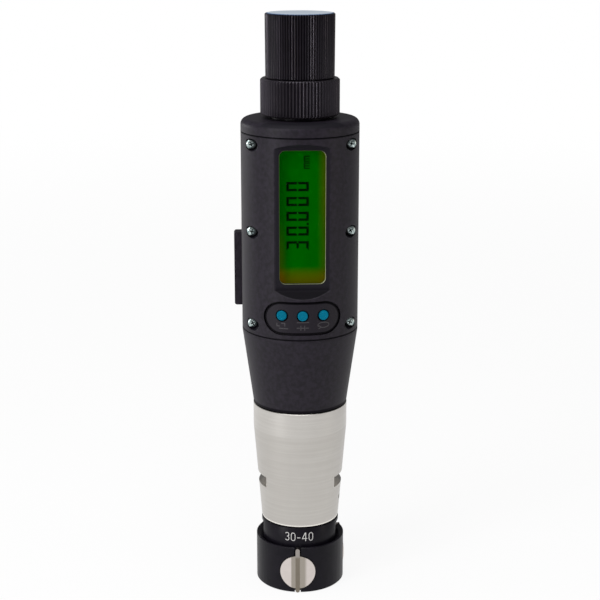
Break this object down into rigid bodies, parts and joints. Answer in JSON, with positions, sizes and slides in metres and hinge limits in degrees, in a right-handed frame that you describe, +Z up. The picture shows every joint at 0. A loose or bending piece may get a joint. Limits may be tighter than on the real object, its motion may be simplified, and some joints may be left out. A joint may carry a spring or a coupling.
{
  "type": "digital internal micrometer",
  "caption": "Upright internal micrometer with a digital display, a ribbed knob and thimble, a tapered sleeve and a measuring head whose anvils a cone spreads.",
  "frame": {"origin": "centre of the measuring head's flat lower face, on the spindle axis", "axes": "+Z up along the spindle axis to the knob, -Y out of the display, -X towards the battery drawer"},
  "size_m": [0.0398, 0.0375, 0.1884],
  "materials": {
    "black_plastic": "fine moulded texture",
    "pad_black": "smooth satin inlay",
    "knob_black": "satin, ribbed",
    "nickel": "satin nickel, fine turning lines",
    "black_steel": "black oxide, satin",
    "ground_steel": "fine ground",
    "carbide": "ground carbide",
    "bright_zinc": "bright zinc",
    "spring_steel": "bright drawn",
    "aluminium": "turned",
    "brass": "turned",
    "lens": "clear moulded",
    "display": "green display",
    "light_guide": "frosted",
    "board_green": "solder mask",
    "switch_grey": "moulded",
    "holder_plastic": "moulded",
    "button_blue": "satin moulded",
    "cell_steel": "pressed steel",
    "disc_pale": "glossy",
    "fibre": "pressed fibre",
    "rubber": "plain"
  },
  "bodies": {
    "housing": {"head_body": "black_steel", "head_cap": "black_steel", "head_cap_screws": "bright_zinc", "sleeve": "nickel", "sleeve_grub_screw": "black_steel", "core_bush": "aluminium", "screw_nut": "brass", "nut_lock_ring": "brass", "housing_nut": "aluminium", "main_housing": "black_plastic", "front_cover": "black_plastic", "cover_screws": "bright_zinc", "button_pad": "pad_black", "window_lens": "lens", "lcd_panel": "display", "light_guide": "light_guide", "circuit_board": "board_green", "button_switches": "switch_grey", "battery_holder": "holder_plastic", "battery_contacts": "spring_steel", "encoder_stator": "board_green", "top_bush": "black_steel", "top_seal": "rubber"},
    "thimble_group": {"thimble": "knob_black", "drive_tube": "ground_steel", "drive_key": "ground_steel", "encoder_rotor": "board_green", "rotor_collar": "aluminium", "friction_washer": "fibre", "thrust_washer": "ground_steel", "clutch_spring": "spring_steel", "clutch_screw": "ground_steel"},
    "knob_group": {"knob": "knob_black", "knob_disc": "disc_pale"},
    "cone_group": {"expander_cone": "ground_steel", "swivel_ring": "ground_steel", "thrust_ball": "ground_steel"},
    "spindle_group": {"spindle": "ground_steel"},
    "drawer_group": {"battery_drawer": "black_plastic", "coin_cell": "cell_steel"},
    "anvil_group_1": {"anvil_1": "ground_steel", "anvil_strip_1": "carbide"},
    "anvil_group_2": {"anvil_2": "ground_steel", "anvil_strip_2": "carbide"},
    "anvil_group_3": {"anvil_3": "ground_steel", "anvil_strip_3": "carbide"},
    "button_group_left": {"button_left": "button_blue"},
    "button_group_middle": {"button_middle": "button_blue"},
    "button_group_right": {"button_right": "button_blue"}
  },
  "joints": [
    {"name": "thimble_turn", "type": "hinge", "parent": "housing", "child": "thimble_group", "pos_m": [0, 0, 0.157], "axis": [0, 0, -1], "range_deg": [0, 7200]},
    {"name": "knob_slip", "type": "hinge", "parent": "thimble_group", "child": "knob_group", "pos_m": [0, 0, 0.172], "axis": [0, 0, -1], "continuous": true},
    {"name": "cone_slide", "type": "slide", "parent": "housing", "child": "cone_group", "axis": [0, 0, -1], "range_m": [0, 0.01]},
    {"name": "spindle_turn", "type": "hinge", "parent": "cone_group", "child": "spindle_group", "pos_m": [0, 0, 0.04], "axis": [0, 0, -1], "range_deg": [0, 7200]},
    {"name": "drawer_slide", "type": "slide", "parent": "housing", "child": "drawer_group", "axis": [-1, 0, 0], "range_m": [0, 0.023]},
    {"name": "anvil_slide_1", "type": "slide", "parent": "housing", "child": "anvil_group_1", "axis": [-0.0993, -0.9951, 0], "range_m": [0, 0.005]},
    {"name": "anvil_slide_2", "type": "slide", "parent": "housing", "child": "anvil_group_2", "axis": [0.9114, 0.4115, 0], "range_m": [0, 0.005]},
    {"name": "anvil_slide_3", "type": "slide", "parent": "housing", "child": "anvil_group_3", "axis": [-0.8121, 0.5835, 0], "range_m": [0, 0.005]},
    {"name": "button_press_left", "type": "slide", "parent": "housing", "child": "button_group_left", "axis": [0, 1, 0], "range_m": [0, 0.0005], "stiffness_N_per_m": 600, "springref_m": -0.0002},
    {"name": "button_press_middle", "type": "slide", "parent": "housing", "child": "button_group_middle", "axis": [0, 1, 0], "range_m": [0, 0.0005], "stiffness_N_per_m": 600, "springref_m": -0.0002},
    {"name": "button_press_right", "type": "slide", "parent": "housing", "child": "button_group_right", "axis": [0, 1, 0], "range_m": [0, 0.0005], "stiffness_N_per_m": 600, "springref_m": -0.0002}
  ],
  "couplings": [
    {"joint": "thimble_turn", "follows": "cone_slide", "rad_per_m": 12566},
    {"joint": "spindle_turn", "follows": "cone_slide", "rad_per_m": 12566},
    {"joint": "anvil_slide_1", "follows": "cone_slide", "ratio": 0.5},
    {"joint": "anvil_slide_2", "follows": "cone_slide", "ratio": 0.5},
    {"joint": "anvil_slide_3", "follows": "cone_slide", "ratio": 0.5}
  ]
}
